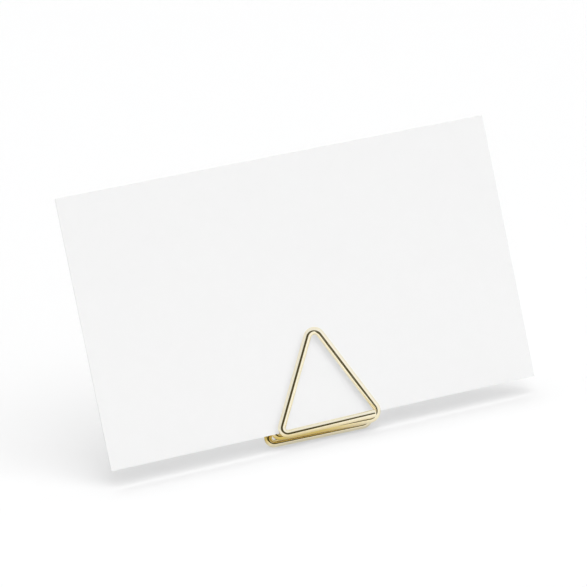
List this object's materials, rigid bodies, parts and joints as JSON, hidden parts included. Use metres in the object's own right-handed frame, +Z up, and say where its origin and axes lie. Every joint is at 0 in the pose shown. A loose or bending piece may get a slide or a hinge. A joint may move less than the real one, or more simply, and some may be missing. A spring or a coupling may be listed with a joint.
{
  "type": "place card holder",
  "caption": "Gold wire bent into a triangular coil with a rear foot; it stands on a table and grips a blank card between its turns.",
  "frame": {"origin": "on the table, under the middle of the part's bounding box", "axes": "+X to the right along the card's width, +Y from the card's front towards its back and the foot, +Z up"},
  "size_m": [0.09, 0.0174, 0.0569],
  "materials": {
    "gold_wire": "polished gold plating",
    "card_stock": "smooth matte white card"
  },
  "bodies": {
    "clip": {"wire_clip": "gold_wire"},
    "card": {"place_card": "card_stock"}
  },
  "joints": [
    {"name": "card_slide", "type": "slide", "parent": "clip", "child": "card", "axis": [0, 0.2419, 0.9703], "range_m": [0, 0.024]}
  ]
}
